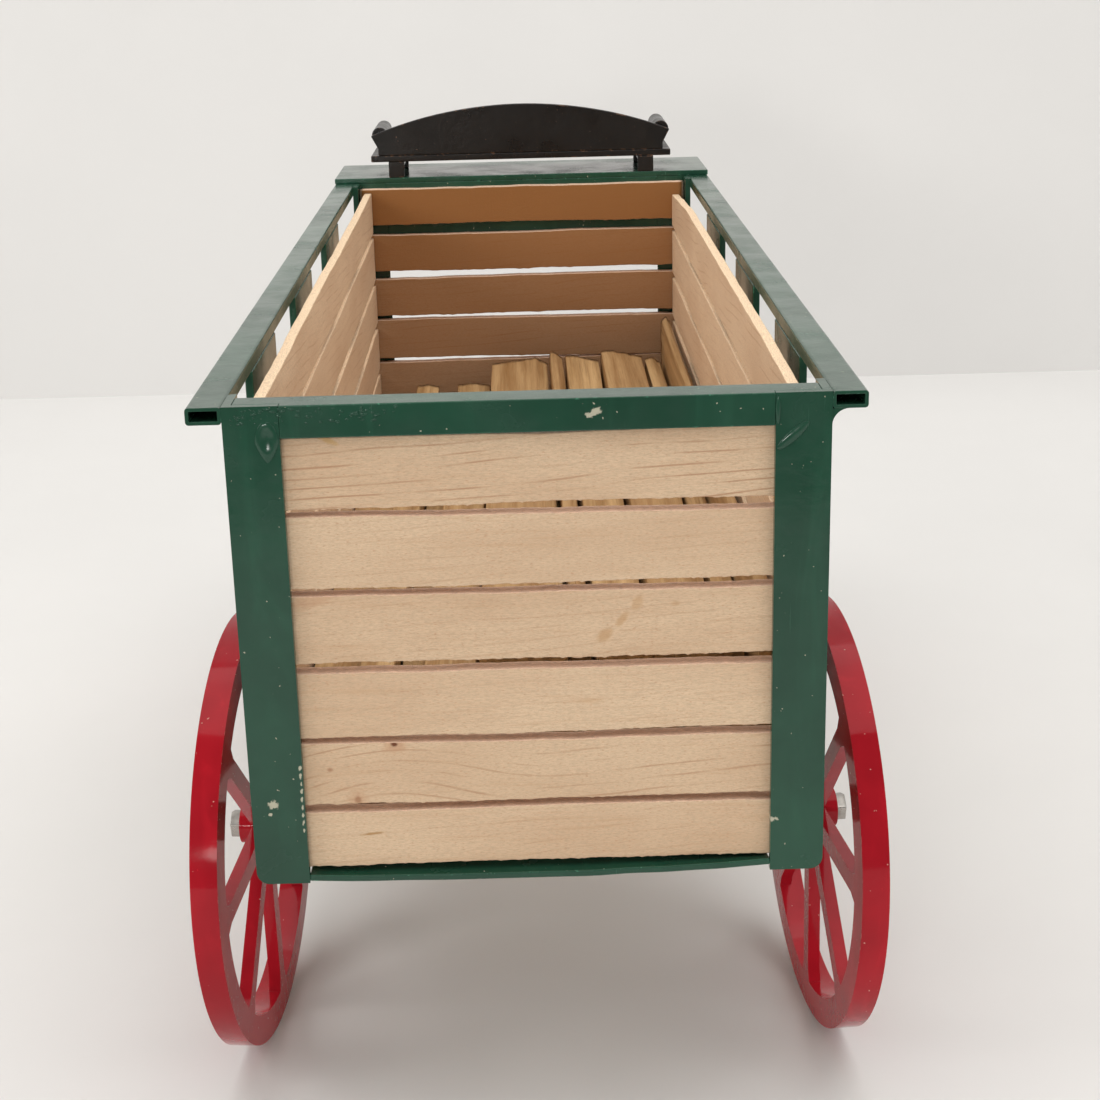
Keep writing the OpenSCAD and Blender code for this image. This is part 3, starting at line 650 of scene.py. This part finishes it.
class WAGON_OT_welds(bpy.types.Operator):
    """Weld drip and ridge on the rear posts, a web under the right tube, and spatter along the tail rail"""

    bl_idname = "wagon.welds"
    bl_label = "Welds"

    def execute(self, context):
        paint = [finishes()["Green enamel"]]
        place_piece("weld_drip", self.drip(), "wagon", paint)
        place_piece("weld_ridge", self.ridge(), "wagon", paint)
        place_piece("weld_web", self.web(), "wagon", paint)
        place_piece("weld_spatter", self.spatter(), "wagon", paint)
        return {"FINISHED"}

    def bead(self, bm, centre, half, slant=0.0, u=20, v=12):
        """A flattened ball, half sunk into the tail's face. Returns its points."""
        made = bmesh.ops.create_uvsphere(bm, u_segments=u, v_segments=v, radius=1.0)["verts"]
        bmesh.ops.scale(bm, verts=made, vec=half)
        bmesh.ops.rotate(bm, verts=made, cent=(0, 0, 0), matrix=Matrix.Rotation(math.radians(slant), 3, "Y"))
        bmesh.ops.translate(bm, verts=made, vec=(centre[0], TAIL_Y, centre[1]))
        return made

    def drip(self):
        """A pool of weld that ran down the left post: a drop with a hollow middle."""
        bm = bmesh.new()
        wide = sizes().weld_bead
        x, z = POST_LEFT_IN - 0.0046, TOP_Z - 0.0130
        for v in self.bead(bm, (x, z), (wide, 0.0008, 0.0074), 0, 32, 20):
            down = (z - v.co.z) / 0.0074
            v.co.x = x + (v.co.x - x) * (1.0 - 0.45 * max(0.0, down))
            away = math.hypot((v.co.x - x) / wide, (v.co.z - z - 0.001) / 0.0074)
            v.co.y += 0.0008 * max(0.0, 1.0 - (away / 0.62) ** 2)
            v.co.y += 0.00012 * noise.noise(v.co * 900.0)
        return bm

    def ridge(self):
        """A low slanting bead on the right post."""
        bm = bmesh.new()
        x, z = -POST_LEFT_IN + 0.0062, TOP_Z - 0.0155
        for v in self.bead(bm, (x, z), (0.0075, 0.0008, 0.0019), -42, 32, 14):
            v.co.y += 0.0001 * noise.noise(v.co * 900.0)
        self.bead(bm, (-POST_LEFT_IN + 0.0008, TOP_Z - 0.0062), (0.0009, 0.0006, 0.0052), 0, 16, 12)
        return bm

    def web(self):
        """A hollow-cheeked web of weld between the right post and the underside of its tube."""
        bm = bmesh.new()
        low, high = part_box("side_rail_right")
        reach, steps = 0.0062, 8
        corner = bm.verts.new((low.x, TAIL_Y + 0.0003, low.z))
        rim = []
        for i in range(steps + 1):
            angle = math.radians(90.0 * i / steps)
            rim.append(bm.verts.new((low.x + reach * (1 - math.cos(angle)), TAIL_Y + 0.0003, low.z - reach * (1 - math.sin(angle)))))
        face = bm.faces.new([corner] + rim)
        made = bmesh.ops.extrude_face_region(bm, geom=[face])["geom"]
        bmesh.ops.translate(bm, verts=[g for g in made if isinstance(g, bmesh.types.BMVert)], vec=(0, 0.0036, 0))
        bmesh.ops.recalc_face_normals(bm, faces=bm.faces)
        round_over(bm, hard_edges(bm, 50.0), 0.0003, 2)
        return bm

    def spatter(self):
        """Small balls of spatter along the left third of the tail rail, most of them near its top edge."""
        bm = bmesh.new()
        rng = random.Random(sizes().seed + 1)
        for _ in range(90):
            x = RAIL_LOW.x + 0.058 * rng.random() ** 1.3
            z = TOP_Z - 0.0010 - 0.0055 * rng.random() ** 1.8
            size = rng.uniform(0.0002, 0.0006)
            self.bead(bm, (x, z), (size * rng.uniform(1.0, 2.2), 0.45 * size, size * rng.uniform(0.7, 1.1)), rng.uniform(-30, 30), 10, 6)
        return bm


class WAGON_OT_seat(bpy.types.Operator):
    """Seat board, arched back, rolled arms and strap brackets, in worn black enamel"""

    bl_idname = "wagon.seat"
    bl_label = "Seat"

    def execute(self, context):
        made = finishes()
        for node in SEAT_NODES:
            ease(node, "painted", made["Black enamel"], made["Black edge"], 0.0007, 3)
        return {"FINISHED"}


class WAGON_OT_running_gear(bpy.types.Operator):
    """Axles, bolster, turntable plates and pole"""

    bl_idname = "wagon.running_gear"
    bl_label = "Running gear"

    def execute(self, context):
        made = finishes()
        for node in GEAR_NODES:
            ease(node, "painted", made["Green enamel"], made["Green edge"], sizes().steel_edge)
        return {"FINISHED"}


class WAGON_OT_wheels(bpy.types.Operator):
    """Four plate-cut wheels in glossy red enamel"""

    bl_idname = "wagon.wheels"
    bl_label = "Wheels"

    def execute(self, context):
        made = finishes()
        for node in WHEEL_NODES:
            ease(node, "painted", made["Red enamel"], made["Red edge"], sizes().wheel_edge, 3)
        return {"FINISHED"}


class WAGON_OT_fasteners(bpy.types.Operator):
    """King pin, pole pin and nuts in dull zinc plate"""

    bl_idname = "wagon.fasteners"
    bl_label = "Pins and nuts"

    def execute(self, context):
        made = finishes()
        for node in FASTENER_NODES:
            ease(node, "plated", made["Zinc plate"], made["Zinc plate"], 0.0004)
        return {"FINISHED"}


class WAGON_OT_load(bpy.types.Operator):
    """Split firewood in the box"""

    bl_idname = "wagon.load"
    bl_label = "Firewood"

    def execute(self, context):
        made = finishes()
        bm = node_mesh("firewood")
        runs = [e for e in bm.edges if length_of(e, 1) > 0.1]
        round_over(bm, runs, 0.0012, 2)
        short = [e for e in bm.edges if length_of(e, 1) < 0.01 and e.calc_length() > 0.004]
        bmesh.ops.subdivide_edges(bm, edges=short, cuts=9, use_grid_fill=True)
        runs = [e for e in bm.edges if length_of(e, 1) > 0.1]
        bmesh.ops.subdivide_edges(bm, edges=runs, cuts=70, use_grid_fill=True)
        self.number_billets(bm)
        bm.normal_update()
        depth = sizes().ridge_depth
        for v in bm.verts:
            p = v.co
            ridge = noise.noise(Vector((p.x * 230.0, p.y * 7.0, p.z * 230.0)))
            sliver = noise.noise(Vector((p.x * 800.0, p.y * 24.0, p.z * 800.0)))
            v.co += v.normal * depth * (0.8 * ridge + 0.4 * sliver - 0.9)
        place_node("firewood", "split", bm, [made["Split wood"]])
        return {"FINISHED"}

    def number_billets(self, bm):
        """Give each billet its own number and tone."""
        rng = random.Random(sizes().seed)
        board = bm.verts.layers.float.new("board")
        tone = bm.verts.layers.float.new("tone")
        left = set(bm.verts)
        number = 0
        while left:
            group = [left.pop()]
            number += 1
            shade_of = rng.uniform(0.0, 0.55)
            while group:
                v = group.pop()
                v[board] = number
                v[tone] = shade_of
                for e in v.link_edges:
                    other = e.other_vert(v)
                    if other in left:
                        left.remove(other)
                        group.append(other)


class WAGON_OT_stage(bpy.types.Operator):
    """Pale floor and backdrop, soft lights and the camera"""

    bl_idname = "wagon.stage"
    bl_label = "Stage"

    def execute(self, context):
        self.surfaces()
        self.lights()
        self.camera(context.scene)
        return {"FINISHED"}

    def surfaces(self):
        """A floor that ends at an upright backdrop."""
        depth, wide, high, near = 0.92, 8.0, 5.0, -1.35
        corner = Vector((-wide / 2, near, 0))
        across, ahead, up = Vector((wide, 0, 0)), Vector((0, depth - near, 0)), Vector((0, 0, high))
        floor_look = plain_paper("Floor paper", colours().floor[:])
        back_look = plain_paper("Backdrop paper", shade(colours().floor[:], 0.98))
        for name, corner, sides, look in (
                ("stage_floor", corner, (across, ahead), floor_look),
                ("stage_backdrop", corner + ahead, (across, up), back_look)):
            bm = bmesh.new()
            a, b = sides
            bm.faces.new([bm.verts.new(p) for p in (corner, corner + a, corner + a + b, corner + b)])
            mesh = bpy.data.meshes.new(name)
            bm.to_mesh(mesh)
            bm.free()
            mesh.materials.append(look)
            sheet = bpy.data.objects.new(name, mesh)
            bpy.context.scene.collection.objects.link(sheet)

    def lights(self):
        """A broad ceiling light, two soft lights beside the camera, a small window and a pale room."""
        for name, place, aim, wide, high, power in (
                ("ceiling", (0.2, -0.2, 2.4), (0, 0, 0), 2.6, 2.6, 39.0),
                ("left_fill", (-2.2, -1.0, 1.5), (0, -0.2, 0.1), 1.4, 1.4, 20.0),
                ("right_fill", (2.0, -1.4, 1.3), (0, -0.2, 0.1), 1.6, 1.6, 10.0),
                ("window", (-0.75, -3.0, 0.62), (0, -0.3, 0.1), 0.5, 0.26, 12.0)):
            lamp = bpy.data.lights.new(name, "AREA")
            lamp.shape = "RECTANGLE"
            lamp.size = wide
            lamp.size_y = high
            lamp.energy = power
            lamp.color = (1.0, 0.985, 0.96)
            obj = bpy.data.objects.new(name, lamp)
            obj.location = place
            obj.visible_camera = False
            obj.rotation_euler = (Vector(aim) - Vector(place)).to_track_quat("-Z", "Y").to_euler()
            bpy.context.scene.collection.objects.link(obj)
        world = bpy.data.worlds.new("Room")
        world.use_nodes = True
        room = world.node_tree.nodes["Background"]
        room.inputs["Color"].default_value = (1.0, 0.985, 0.965, 1.0)
        # the room is pale to look at, but gloss mirrors only a dim part of it
        path = world.node_tree.nodes.new("ShaderNodeLightPath")
        dim = world.node_tree.nodes.new("ShaderNodeMapRange")
        dim.inputs["To Min"].default_value = 0.62
        dim.inputs["To Max"].default_value = 0.10
        world.node_tree.links.new(path.outputs["Is Glossy Ray"], dim.inputs["Value"])
        world.node_tree.links.new(dim.outputs["Result"], room.inputs["Strength"])
        bpy.context.scene.world = world

    def camera(self, scene):
        """Camera with a level of tilt, turn and roll about its own axes."""
        view = scene.wagon_view
        data = bpy.data.cameras.new("camera")
        data.sensor_width = 36.0
        data.lens = view.lens
        data.clip_start = 0.01
        turn = (Matrix.Rotation(-view.yaw, 4, "Z") @ Matrix.Rotation(math.pi / 2 - view.pitch, 4, "X")
                @ Matrix.Rotation(view.roll, 4, "Z"))
        obj = bpy.data.objects.new("camera", data)
        obj.matrix_world = Matrix.Translation(view.place) @ turn
        scene.collection.objects.link(obj)
        scene.camera = obj
        scene.view_settings.view_transform = "Standard"


class WAGON_PT_pieces(bpy.types.Panel):
    """The wagon's pieces and sizes"""

    bl_idname = "WAGON_PT_pieces"
    bl_label = "Wagon"
    bl_space_type = "VIEW_3D"
    bl_region_type = "UI"
    bl_category = "Wagon"

    def draw(self, context):
        for operator in OPERATORS:
            self.layout.operator(operator.bl_idname)
        for group in (context.scene.wagon_sizes, context.scene.wagon_colours, context.scene.wagon_view):
            column = self.layout.column(align=True)
            for name in group.__annotations__:
                column.prop(group, name)


OPERATORS = (
    WAGON_OT_frame_steel, WAGON_OT_welds, WAGON_OT_lath, WAGON_OT_seat, WAGON_OT_running_gear, WAGON_OT_wheels,
    WAGON_OT_fasteners, WAGON_OT_load, WAGON_OT_stage,
)
CLASSES = (WagonSizes, WagonColours, WagonView, *OPERATORS, WAGON_PT_pieces)


def register():
    """Register the classes and their settings."""
    for cls in CLASSES:
        bpy.utils.register_class(cls)
    bpy.types.Scene.wagon_sizes = PointerProperty(type=WagonSizes)
    bpy.types.Scene.wagon_colours = PointerProperty(type=WagonColours)
    bpy.types.Scene.wagon_view = PointerProperty(type=WagonView)


def unregister():
    """Take the classes and their settings away again."""
    del bpy.types.Scene.wagon_view
    del bpy.types.Scene.wagon_colours
    del bpy.types.Scene.wagon_sizes
    for cls in reversed(CLASSES):
        bpy.utils.unregister_class(cls)


def main():
    """Build the wagon and its stage."""
    register()
    bpy.ops.wagon.frame_steel()
    bpy.ops.wagon.welds()
    bpy.ops.wagon.lath()
    bpy.ops.wagon.seat()
    bpy.ops.wagon.running_gear()
    bpy.ops.wagon.wheels()
    bpy.ops.wagon.fasteners()
    bpy.ops.wagon.load()
    bpy.ops.wagon.stage()


if __name__ == "__main__":
    main()
